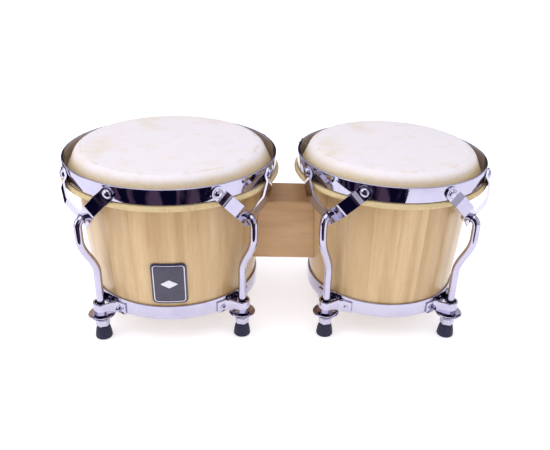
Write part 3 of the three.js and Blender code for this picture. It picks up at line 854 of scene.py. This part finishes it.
def sideRivet(drum):
    size = rivetSizes
    face = plateSizes["gap"] + plateSizes["thickness"]
    tail = -rimSizes["wall"] - plateSizes["gap"]
    dome = [(size["headRadius"] * math.cos(math.radians(a)),
             face + size["collarHeight"] + size["headHeight"] * math.sin(math.radians(a)))
            for a in (0, 12, 25, 38, 50, 62, 75)]
    back = [(size["tailRadius"] * math.cos(math.radians(a)),
             tail - size["tailHeight"] * math.sin(math.radians(a))) for a in (75, 50, 25, 0)]
    profile = [(0, tail - size["tailHeight"]), *back, (size["shankRadius"], tail),
               (size["shankRadius"], face), (size["collarRadius"], face),
               (size["collarRadius"] - 0.0001, face + size["collarHeight"]), *dome,
               (0, face + size["collarHeight"] + size["headHeight"])]
    rivet = turned(drum["name"] + " rivet", profile, 40)
    place = (drum["rimRadius"], 0, drum["rimTop"] - plateSizes["rivetDrop"])
    rivet.matrix_world = Matrix.Translation(place) @ layFlat
    settle(rivet, rivet.name)
    return smooth(rivet, 35)


for drum in drums:
    plate = sidePlate(drum)
    rivet = sideRivet(drum)
    spread = math.degrees(rivetSpread(drum))
    for corner, degrees in drum["lugs"].items():
        node = drum["name"] + "_side_plate_" + corner
        copy = placedCopy(plate, drum["name"] + "_bent_plate_" + corner, lugMatrix(drum, degrees))
        finished(copy, chrome, drum["rimBody"], "chrome", node)
        for side, turn in (("left", -spread), ("right", spread)):
            name = drum["name"] + "_rivet_" + corner + "_" + side
            pin = placedCopy(rivet, name, lugMatrix(drum, degrees + turn))
            finished(pin, chrome, drum["rimBody"], "chrome")
    for spare in (plate, rivet):
        bpy.data.objects.remove(spare, do_unlink=True)
print("side plates bent and riveted")


# tuning rods
def rodPath(drum):
    size = rodSizes
    low = shellRadius(drum, drum["hoopTop"]) + 0.0003 + hoopSizes["wall"] + size["standoff"]
    high = drum["rimRadius"] + size["hookStandoff"]
    leanEnd = drum["rimTop"] - size["hookTopDrop"] - size["leanBelow"]
    start = size["bendStart"]
    steps = 24
    lean = [(low + (high - low) * (1 - math.cos(math.pi * i / steps)) / 2,
             start + (leanEnd - start) * i / steps) for i in range(steps + 1)]
    centre = hookCentre(drum)
    hook = arc(centre, size["hookRadius"], 0, size["hookTurn"], 24)
    turn = math.radians(size["hookTurn"])
    tip = (hook[-1][0] - size["tip"] * math.sin(turn), hook[-1][1] + size["tip"] * math.cos(turn))
    path = [(low, size["bottom"]), (low, drum["hoopTop"]), *lean, *hook, tip]
    drum["rodRadius"] = low
    return [(radius, 0, height) for radius, height in path]


hoopSizes = {
    "wall": 0.0016,
    "gap": 0.0003,
    "bottom": 0.0288,
    "lip": 0.004,
    "ease": 0.0005,
    "bracketHeight": 0.0124,
    "bracketBelow": 0.0004,
    "bracketWall": 0.0018,
    "bracketClearance": 0.002,
    "footSpread": 0.012,
    "flangeSpread": 0.0215,
    "flangeRoot": 0.0128,
    "legOut": 0.0032,
    "seatGap": 0.0001,
    "strapEdge": 0.0004,
    "weldAt": 0.0172,
    "weldRadius": 0.0013,
}

for drum in drums:
    rod = tube(drum["name"] + " rod", rodPath(drum), rodSizes["radius"], 5)
    eased(rod, rodSizes["tipEase"], 2, 60)
    smooth(rod, 40)
    for corner, degrees in drum["lugs"].items():
        node = drum["name"] + "_tuning_rod_" + corner
        copy = placedCopy(rod, drum["name"] + "_hooked_rod_" + corner, lugMatrix(drum, degrees))
        finished(copy, chrome, drum["rimBody"], "chrome", node)
    bpy.data.objects.remove(rod, do_unlink=True)
print("rods hooked")


# bottom hoops with their rod brackets
def bottomHoop(drum):
    size = hoopSizes
    inside = shellRadius(drum, drum["hoopTop"]) + size["gap"]
    outside = inside + size["wall"]
    bore = shellRadius(drum, drum["shellBottom"]) - size["lip"]
    low, high, ease = size["bottom"], drum["hoopTop"], size["ease"]
    profile = [(bore + ease, low), *arc((outside - 3 * ease, low + 3 * ease), 3 * ease, -90, 0, 5),
               *arc((outside - ease, high - ease), ease, 0, 90, 3),
               *arc((inside + ease, high - ease), ease, 90, 180, 3),
               (inside, low + size["wall"] + ease), (inside - ease, low + size["wall"]),
               (bore + ease, low + size["wall"]), (bore, low + size["wall"] - ease),
               (bore, low + ease), (bore + ease, low)]
    hoop = turned(drum["name"] + "_spun_hoop", profile, 160, drum["axisX"])
    smooth(hoop, 35)
    finished(hoop, chrome, root, "chrome", drum["name"] + "_bottom_hoop")
    return outside


# a shallow dimple with a soft raised edge
def spotWeld(radius):
    return turned("weld", [(0, 0.0001), (radius * 0.5, 0.00012), (radius * 0.9, 0.0003),
                           (radius * 1.2, 0.00022), (radius * 1.4, -0.0003), (0, -0.0003)], 28)


def rodBracket(drum, outside):
    size = hoopSizes
    rodAt = drum["rodRadius"]
    half = size["bracketWall"] / 2
    loop = rodSizes["radius"] + size["bracketClearance"] + half
    slant = math.atan2(size["footSpread"] - loop, rodAt - outside + size["footSpread"])
    seat = outside + half + size["seatGap"]
    ends = [math.degrees(math.asin(y / seat)) for y in (size["flangeSpread"], size["flangeRoot"])]
    flange = arc((0, 0), seat, ends[0], ends[1], 6)
    legFoot = (outside + size["legOut"], loop + (rodAt - outside) * math.tan(slant) * 0.82)
    corner = [(seat + 0.0002, legFoot[1] + 0.0022), (seat + 0.0011, legFoot[1] + 0.0007)]
    around = arc((rodAt, 0), loop, 90 - math.degrees(slant), 0, 12)
    halfPath = [*flange, *corner, legFoot, *around]
    path = [*halfPath, *[(x, -y) for x, y in halfPath[-2::-1]]]
    low = size["bottom"] - size["bracketBelow"]
    strap = line("bracket", [(x, y, low) for x, y in path])
    selectAll()
    bpy.ops.mesh.extrude_region_move(
        TRANSFORM_OT_translate={"value": (0, 0, size["bracketHeight"])})
    bpy.ops.mesh.normals_make_consistent(inside=False)
    doneEditing()
    modified(strap, "SOLIDIFY", thickness=size["bracketWall"], offset=0, use_even_offset=True)
    eased(strap, size["strapEdge"], 2, 60)
    welds = [strap]
    for side in (-1, 1):
        weld = spotWeld(size["weldRadius"])
        turn = math.asin(side * size["weldAt"] / seat)
        place = Matrix.Translation((seat + half, 0, low + size["bracketHeight"] / 2))
        weld.matrix_world = Matrix.Rotation(turn, 4, "Z") @ place @ layFlat
        welds.append(settle(weld, "weld"))
    strap = joinedPieces(welds)
    return smooth(strap, 40)


for drum in drums:
    outside = bottomHoop(drum)
    bracket = rodBracket(drum, outside)
    for corner, degrees in drum["lugs"].items():
        copy = placedCopy(bracket, drum["name"] + "_rod_bracket_" + corner,
                          lugMatrix(drum, degrees))
        finished(copy, chrome, root, "chrome")
    bpy.data.objects.remove(bracket, do_unlink=True)
print("bottom hoops and brackets made")


# tuning nuts and rubber feet
nutSizes = {
    "hexFlats": 0.0126,
    "neckRadius": 0.0068,
    "flangeRadius": 0.0134,
    "flangeThickness": 0.0018,
    "cone": 0.005,
    "bore": 0.0042,
    "edge": 0.0005,
}
footSizes = {"topRadius": 0.0063, "bottomRadius": 0.0084, "ease": 0.0014, "socket": 0.0042,
             "floor": 0.003, "swell": 0.0003, "recess": 0.0004, "topEdge": 0.0008}


def tuningNut(drum):
    size = nutSizes
    top, bottom = drum["nutTop"], drum["nutBottom"]
    under = top - size["flangeThickness"]
    wide, bore, neck = size["flangeRadius"], size["bore"], size["neckRadius"]
    neckTop = under - size["cone"]
    profile = [(bore, top - 0.0012), (bore + 0.0006, top - 0.0006),
               (wide - 0.0042, top - 0.0011), (wide - 0.0014, top - 0.0001),
               (wide - 0.0008, top), (wide - 0.0002, top - 0.0004), (wide, top - 0.0010),
               (wide - 0.0005, top - 0.0017), (wide - 0.0016, under - 0.0003),
               (wide - 0.0040, under - 0.0014), (neck + 0.0004, neckTop),
               (neck, neckTop - 0.0006), (neck, neckTop - 0.0012), (bore, neckTop - 0.0012),
               (bore, top - 0.0012)]
    collar = turned("collar", profile, 64)
    smooth(collar, 38)
    height = neckTop - 0.0006 - bottom
    deselectAll()
    bpy.ops.mesh.primitive_cylinder_add(vertices=6, radius=size["hexFlats"] / math.sqrt(3),
                                        depth=height, location=(0, 0, bottom + height / 2))
    hexagon = settle(bpy.context.object, "hexagon")
    eased(hexagon, size["edge"], 3, 30)
    deselectAll()
    bpy.ops.mesh.primitive_cylinder_add(vertices=32, radius=bore, depth=0.05)
    cutBy(hexagon, settle(bpy.context.object, "bore"))
    smooth(hexagon, 30)
    return joinedPieces([collar, hexagon])


def rubberFoot(drum):
    size = footSizes
    top, ease, recess = drum["footTop"], size["ease"], size["recess"]
    low, high = size["bottomRadius"], size["topRadius"]
    side = [(low - (low - high) * t + size["swell"] * math.sin(math.pi * t),
             ease + (top - ease - size["topEdge"]) * t) for t in (0, 0.2, 0.4, 0.6, 0.8, 1.0)]
    profile = [(0, recess), (low - 0.0035, recess), (low - 0.0030, 0),
               (low - ease, 0), *arc((low - ease, ease), ease, -70, -10, 4), *side,
               (high - 0.0006, top), (size["socket"], top), (size["socket"], size["floor"]),
               (0, size["floor"])]
    foot = turned("foot", profile, 56)
    return smooth(foot, 38)


for drum in drums:
    nut = tuningNut(drum)
    foot = rubberFoot(drum)
    for corner, degrees in drum["lugs"].items():
        body = drum["name"] + "_nut_" + corner
        place = lugMatrix(drum, degrees) @ Matrix.Translation((drum["rodRadius"], 0, 0))
        copy = placedCopy(nut, drum["name"] + "_flanged_nut_" + corner, place)
        finished(copy, chrome, body, "chrome", drum["name"] + "_tuning_nut_" + corner)
        copy = placedCopy(foot, drum["name"] + "_moulded_foot_" + corner, place)
        finished(copy, rubberLook, body, "rubber", drum["name"] + "_rubber_foot_" + corner)
    for spare in (nut, foot):
        bpy.data.objects.remove(spare, do_unlink=True)
print("nuts and feet made")


# centre block and tie bolts
blockSizes = {"edge": 0.0014, "gap": 0.0003, "overlap": 0.02}
washerSizes = {"hole": 0.0043, "ease": 0.0003}


def shellPlug(drum):
    outside = shellSide(drum, blockSizes["gap"])
    profile = [(0, outside[0][1]), *outside, (0, outside[-1][1])]
    return turned("plug", profile, 144, drum["axisX"])


blockLow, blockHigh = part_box("centre_block")
middle = [(low + high) / 2 for low, high in zip(blockLow, blockHigh)]
size = [high - low for low, high in zip(blockLow, blockHigh)]
deselectAll()
size[0] += blockSizes["overlap"]  # past both shells, which then cut it to fit
bpy.ops.mesh.primitive_cube_add(size=1, location=middle, scale=size)
block = settle(bpy.context.object, "sawn_block")
for edge in block.data.edges:
    ends = [block.data.vertices[i].co for i in edge.vertices]
    edge.select = abs(ends[0].x - ends[1].x) > 0.01
editing("EDGE")
bpy.ops.mesh.bevel(offset=blockSizes["edge"], segments=4, affect="EDGES")
doneEditing()
for drum in drums:
    cutBy(block, shellPlug(drum))
smooth(block, 35)
finished(block, blockLook, root, "block_wood", "centre_block")


def washer(name, node):
    low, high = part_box(node)
    middle = [(low[i] + high[i]) / 2 for i in range(3)]
    half, wide = (high[0] - low[0]) / 2, (high[1] - low[1]) / 2
    hole, ease = washerSizes["hole"], washerSizes["ease"]
    piece = turned(name, [(hole, -half), (wide - ease, -half), (wide, ease - half),
                          (wide, half - ease), (wide - ease, half), (hole, half),
                          (hole, -half)], 48)
    piece.matrix_world = Matrix.Translation(middle) @ layFlat
    settle(piece, name)
    smooth(piece, 30)
    finished(piece, steel, root, "steel", node)


for level in ("lower", "upper"):
    for drum in drums:
        node = "tie_washer_" + drum["name"] + "_" + level
        washer(node.replace("tie", "flat"), node)
    for kind in ("bolt", "nut"):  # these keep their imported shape
        fixing = bpy.data.objects["tie_" + kind + "_" + level]
        fixing.data.materials.clear()
        fixing.data.materials.append(steel)
print("block and tie bolts made")


# badge
badgeSizes = {
    "thickness": 0.001,
    "corner": 0.0045,
    "azimuth": -87.5,
    "standoff": 0.12,
    "borderInset": 0.0019,
    "borderWidth": 0.0008,
    "borderLift": 0.00035,
    "width": 0.0335,
    "markWidth": 0.0165,
    "markHeight": 0.0095,
}


def roundedPlate(name, width, height, corner):
    deselectAll()
    bpy.ops.mesh.primitive_plane_add(size=1)
    plate = bpy.context.object
    plate.scale = (width, height, 1)
    settle(plate, name)
    editing()
    selectAll()
    bpy.ops.mesh.bevel(offset=corner, segments=8, affect="VERTICES")
    return plate


def sliced(plate, width, height):
    pick(plate)
    editing()
    for share in range(1, 20):
        selectAll()
        bpy.ops.mesh.bisect(plane_co=((share / 20 - 0.5) * width, 0, 0), plane_no=(1, 0, 0))
    for share in range(1, 8):
        selectAll()
        bpy.ops.mesh.bisect(plane_co=(0, (share / 8 - 0.5) * height, 0), plane_no=(0, 1, 0))
    doneEditing()
    return plate


# stands a flat plate in front of the large shell and lays it on the wood
def wrapped(plate, lift, thickness, edge):
    pick(plate)
    facing = math.radians(badgeSizes["azimuth"])
    plate.matrix_world = (Matrix.Translation((largeDrum["axisX"], 0, badgeMiddle))
                          @ Matrix.Rotation(facing + math.pi / 2, 4, "Z")
                          @ Matrix.Translation((0, -badgeSizes["standoff"], 0))
                          @ Matrix.Rotation(math.pi / 2, 4, "X"))
    settle(plate, plate.name)
    shell = bpy.data.objects["large_turned_shell"]
    modified(plate, "SHRINKWRAP", target=shell, wrap_method="PROJECT", use_project_y=True,
             wrap_mode="ABOVE_SURFACE", offset=lift)
    modified(plate, "SOLIDIFY", thickness=thickness, offset=0)
    eased(plate, edge, 2, 50)
    turnOut(plate)
    return smooth(plate, 40)


low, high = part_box("badge")
badgeMiddle = (low[2] + high[2]) / 2
badgeHeight = high[2] - low[2]
width = badgeSizes["width"]
plate = roundedPlate("enamel_plate", width, badgeHeight, badgeSizes["corner"])
doneEditing()
sliced(plate, width, badgeHeight)
wrapped(plate, 0.0008, badgeSizes["thickness"], 0.00025)
finished(plate, darkEnamel, root, "badge", "badge")

inset = badgeSizes["borderInset"]
border = roundedPlate("badge_border", width - 2 * inset, badgeHeight - 2 * inset,
                      badgeSizes["corner"] - inset * 0.6)
bpy.ops.mesh.select_mode(type="FACE")
selectAll()
bpy.ops.mesh.inset(thickness=badgeSizes["borderWidth"])
bpy.ops.mesh.delete(type="FACE")
doneEditing()
sliced(border, width, badgeHeight)
wrapped(border, 0.0013, 0.0006, 0.00015)
finished(border, badgeMetal, root, "badge")

# a plain lozenge is all that the badge carries
deselectAll()
bpy.ops.mesh.primitive_circle_add(vertices=4, radius=0.5, fill_type="NGON")
lozenge = bpy.context.object
lozenge.scale = (badgeSizes["markWidth"], badgeSizes["markHeight"], 1)
settle(lozenge, "badge_lozenge")
editing()
selectAll()
bpy.ops.mesh.bevel(offset=0.0007, segments=4, affect="VERTICES")
doneEditing()
sliced(lozenge, width, 0.02)
wrapped(lozenge, 0.0013, 0.0005, 0.00012)
finished(lozenge, paleEnamel, root, "badge")
print("badge fitted")


# floor, light and camera
studio = {"floor": 12.0, "paper": tint(250, 250, 252), "paperGlow": 0.5,
          "world": tint(238, 236, 246), "worldStrength": 0.74}


# the cards are the dark parts of the room, which only the metal shows
def onlyReflected(card):
    card.visible_camera = False
    card.visible_diffuse = False
    card.visible_shadow = False
    card.visible_transmission = False
    card.visible_volume_scatter = False


def plainLook(name, first, second, strength, scale):
    look = bpy.data.materials.new(name)
    look.use_nodes = True
    tree = look.node_tree
    tree.nodes.clear()
    place = stretched(tree, centredPlace(tree), (1.0, 1.0, 0.12))
    cloud = ranged(tree, noisy(tree, place, scale, 2.0, 0.5), 0.47, 0.56, 0.0, 1.0)
    colour = mixedColour(tree, cloud, first, second)
    light = addNode(tree, "Emission", {"Color": colour, "Strength": strength})
    output = addNode(tree, "OutputMaterial")
    tree.links.new(light.outputs[0], output.inputs["Surface"])
    return look


deselectAll()
bpy.ops.mesh.primitive_plane_add(size=studio["floor"], location=(0, 0, -0.0002))
floor = settle(bpy.context.object, "floor")
paper, tree, shader = newLook("paper", {"Roughness": 0.8, "Specular IOR Level": 0.1})
fleck = noisy(tree, centredPlace(tree), 30.0)
colour = mixedColour(tree, ranged(tree, fleck, 0.3, 0.7), studio["paper"], tint(247, 247, 250))
tree.links.new(colour, shader.inputs["Base Color"])
shader.inputs["Emission Color"].default_value = (1, 1, 1, 1)
shader.inputs["Emission Strength"].default_value = studio["paperGlow"]
floor.data.materials.append(paper)

cards = {
    "front_flag": {"at": (-0.21, -0.29, 0.076), "size": (0.74, 0.15), "turn": (90, 0, 0)},
    "floor_flag": {"at": (-0.21, -0.265, 0.002), "size": (0.74, 0.05), "turn": (0, 0, 0)},
    "left_flag": {"at": (-0.37, 0.13, 0.076), "size": (0.2, 0.15), "turn": (90, 0, 90)},
    "front_room_card": {"at": (-0.8, -1.95, 1.1), "size": (2.2, 2.2), "turn": (90, 0, 0)},
    "back_low_card": {"at": (0.0, 1.6, 0.45), "size": (3.4, 0.78), "turn": (90, 0, 0)},
}
dark = plainLook("dark room", tint(14, 13, 38), tint(92, 72, 90), 1.0, 15.0)
for name, card in cards.items():
    deselectAll()
    turn = [math.radians(angle) for angle in card["turn"]]
    bpy.ops.mesh.primitive_plane_add(size=1, location=card["at"], rotation=turn)
    piece = bpy.context.object
    piece.scale = (*card["size"], 1)
    settle(piece, name)
    piece.data.materials.append(dark)
    onlyReflected(piece)

world = bpy.data.worlds.new("studio")
bpy.context.scene.world = world
world.use_nodes = True
tree = world.node_tree
tree.nodes.clear()
seen = addNode(tree, "LightPath").outputs["Is Camera Ray"]
lit = addNode(tree, "Background", {"Color": studio["world"], "Strength": studio["worldStrength"]})
plain = addNode(tree, "Background", {"Color": (1, 1, 1, 1), "Strength": 1.0})
either = addNode(tree, "MixShader", {0: seen, 1: lit.outputs[0], 2: plain.outputs[0]})
output = addNode(tree, "OutputWorld")
tree.links.new(either.outputs[0], output.inputs["Surface"])

lights = {
    "top_softbox": {"at": (-0.15, -0.25, 1.5), "size": 1.4, "power": 7},
    "left_softbox": {"at": (-1.6, -0.5, 0.8), "size": 1.2, "power": 6},
    "right_softbox": {"at": (1.7, -0.3, 0.8), "size": 1.0, "power": 1.5},
}
for name, given in lights.items():
    deselectAll()
    bpy.ops.object.light_add(type="AREA", location=given["at"])
    lamp = bpy.context.object
    lamp.name = name
    lamp.data.size = given["size"]
    lamp.data.energy = given["power"]
    aim = Vector((0, 0, 0.1)) - Vector(given["at"])
    lamp.rotation_euler = aim.to_track_quat("-Z", "Y").to_euler()

view = {"at": (-0.0129, -0.6048, 0.3931), "aim": (0.00143, 0.0, 0.0916), "roll": 1.64,
        "lens": 41.83}
deselectAll()
bpy.ops.object.camera_add(location=view["at"])
camera = bpy.context.object
camera.name = "camera"
forward = (Vector(view["aim"]) - Vector(view["at"])).normalized()
level = forward.cross(Vector((0, 0, 1))).normalized()
upward = level.cross(forward)
roll = math.radians(view["roll"])
right = level * math.cos(roll) + upward * math.sin(roll)
up = upward * math.cos(roll) - level * math.sin(roll)
facing = Matrix((right, up, -forward)).transposed().to_4x4()
camera.matrix_world = Matrix.Translation(view["at"]) @ facing
camera.data.lens = view["lens"]
camera.data.sensor_width = 36
camera.data.dof.use_dof = False
bpy.context.scene.camera = camera
bpy.context.scene.view_settings.view_transform = "Standard"
print("studio set")

bpy.context.view_layer.update()
